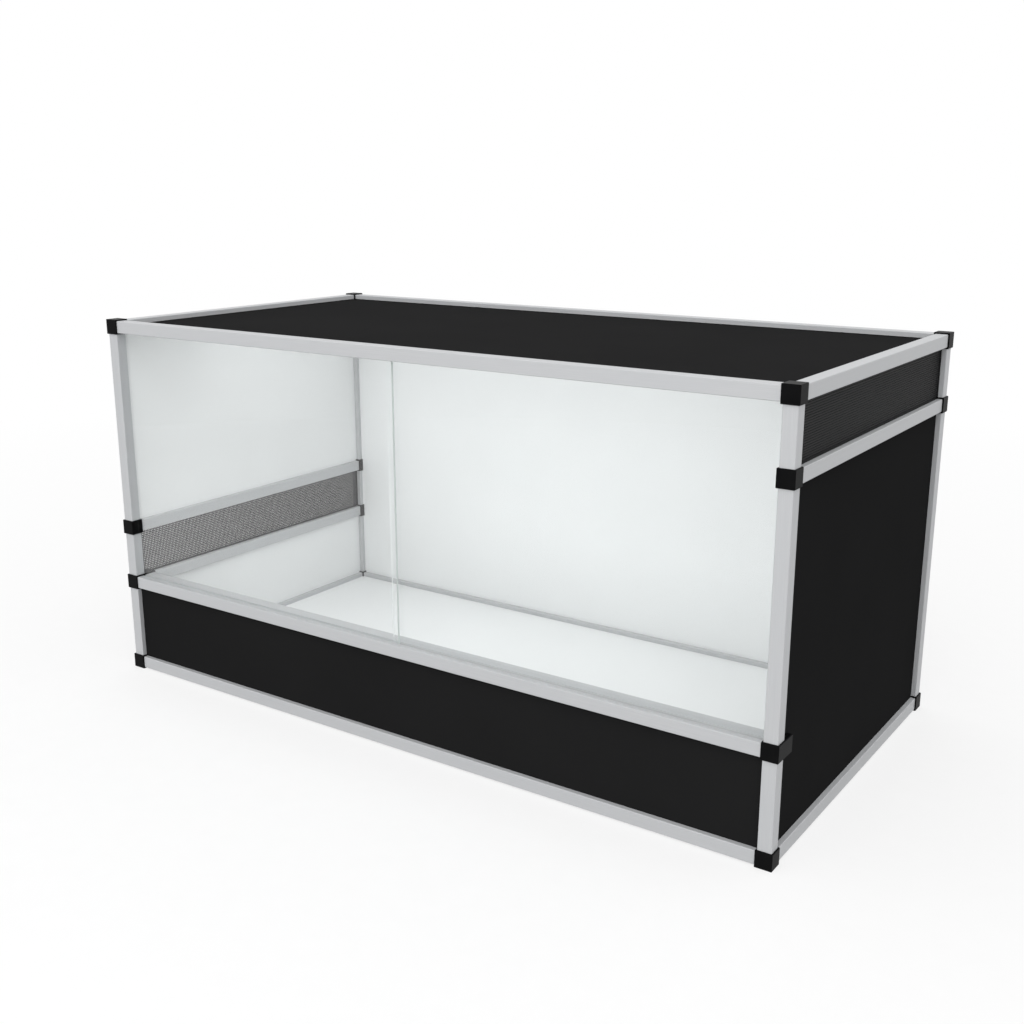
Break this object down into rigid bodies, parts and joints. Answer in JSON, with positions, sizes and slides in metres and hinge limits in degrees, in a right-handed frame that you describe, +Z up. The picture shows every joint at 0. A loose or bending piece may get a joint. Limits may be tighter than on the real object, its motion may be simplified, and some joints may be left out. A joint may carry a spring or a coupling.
{
  "type": "reptile terrarium",
  "caption": "Low reptile terrarium: silver tube frame on black push-in connectors, black boards, perforated side vents and sliding glass front doors above an apron.",
  "frame": {"origin": "middle of the footprint, on the surface that the four bottom corners stand on", "axes": "+X to the right along the width, +Y from the door front to the rear, +Z up"},
  "size_m": [1.2216, 0.6216, 0.6215],
  "materials": {
    "tube": "satin anodised",
    "connector": "fine moulded texture",
    "board": "matt black outside, white inside",
    "vent": "matt black powder coat",
    "track": "silver grey extruded plastic",
    "glass": "clear float glass with faint green edges"
  },
  "bodies": {
    "cage": {"corner_bottom_front_left": "connector", "corner_bottom_front_right": "connector", "corner_bottom_rear_left": "connector", "corner_bottom_rear_right": "connector", "corner_top_front_left": "connector", "corner_top_front_right": "connector", "corner_top_rear_left": "connector", "corner_top_rear_right": "connector", "joint_sill_left": "connector", "joint_sill_right": "connector", "joint_left_low_rear": "connector", "joint_left_high_front": "connector", "joint_left_high_rear": "connector", "joint_right_front": "connector", "joint_right_rear": "connector", "post_front_left_low": "tube", "post_front_left_vent": "tube", "post_front_left_high": "tube", "post_front_right_low": "tube", "post_front_right_mid": "tube", "post_front_right_vent": "tube", "post_rear_left_low": "tube", "post_rear_left_vent": "tube", "post_rear_left_high": "tube", "post_rear_right_low": "tube", "post_rear_right_vent": "tube", "rail_bottom_front": "tube", "rail_bottom_rear": "tube", "rail_bottom_left": "tube", "rail_bottom_right": "tube", "rail_top_front": "tube", "rail_top_rear": "tube", "rail_top_left": "tube", "rail_top_right": "tube", "rail_sill": "tube", "rail_left_low": "tube", "rail_left_high": "tube", "rail_right_mid": "tube", "board_top": "board", "board_floor": "board", "board_rear": "board", "board_right": "board", "board_left_low": "board", "board_left_high": "board", "board_apron": "board", "vent_left": "vent", "vent_right": "vent", "track_sill": "track", "track_top": "track"},
    "front_pane": {"glass_front_pane": "glass"},
    "rear_pane": {"glass_rear_pane": "glass"}
  },
  "joints": [
    {"name": "front_pane_slide", "type": "slide", "parent": "cage", "child": "front_pane", "axis": [1, 0, 0], "range_m": [0, 0.5884]},
    {"name": "rear_pane_slide", "type": "slide", "parent": "cage", "child": "rear_pane", "axis": [1, 0, 0], "range_m": [-0.5714, 0]}
  ]
}
